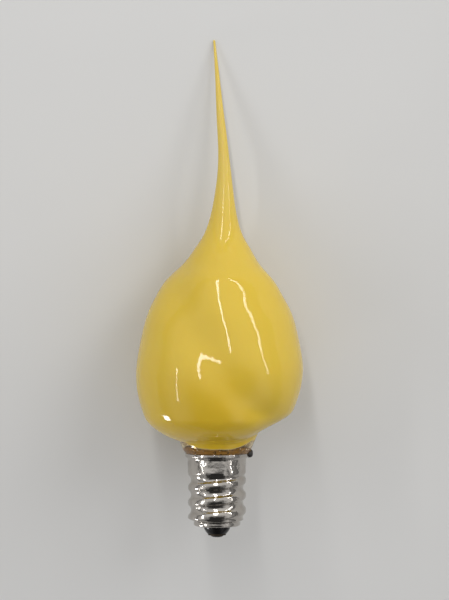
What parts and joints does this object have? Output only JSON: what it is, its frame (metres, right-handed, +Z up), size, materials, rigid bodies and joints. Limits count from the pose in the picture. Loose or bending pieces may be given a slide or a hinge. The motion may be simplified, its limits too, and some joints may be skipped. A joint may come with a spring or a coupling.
{
  "type": "decorative light bulb",
  "caption": "Small screw-base night-light bulb dipped in thick yellow silicone, with petal-like lobes wrapped round the glass and a long thin drawn tail.",
  "frame": {"origin": "middle of the footprint on the surface the bulb lies on", "axes": "+Z up from the surface, +Y from the screw cap to the tip of the tail, +X to the right when seen from above with the tail pointing away"},
  "size_m": [0.0336, 0.0976, 0.0319],
  "materials": {
    "silicone": "glossy",
    "clear_glass": "clear",
    "wire": "bright",
    "tungsten": "satin",
    "cement": "matt",
    "nickel": "polished",
    "black_glass": "glossy",
    "brass": "satin",
    "solder": "dull"
  },
  "bodies": {
    "root": {"silicone_coat": "silicone", "glass_envelope": "clear_glass", "stem_glass": "clear_glass", "lead_wire_contact": "wire", "lead_wire_shell": "wire", "filament": "tungsten", "filament_supports": "wire", "cap_cement": "cement", "screw_shell": "nickel", "cap_insulator": "black_glass", "contact_plate": "brass", "contact_solder": "solder", "rim_solder": "solder"}
  },
  "joints": []
}
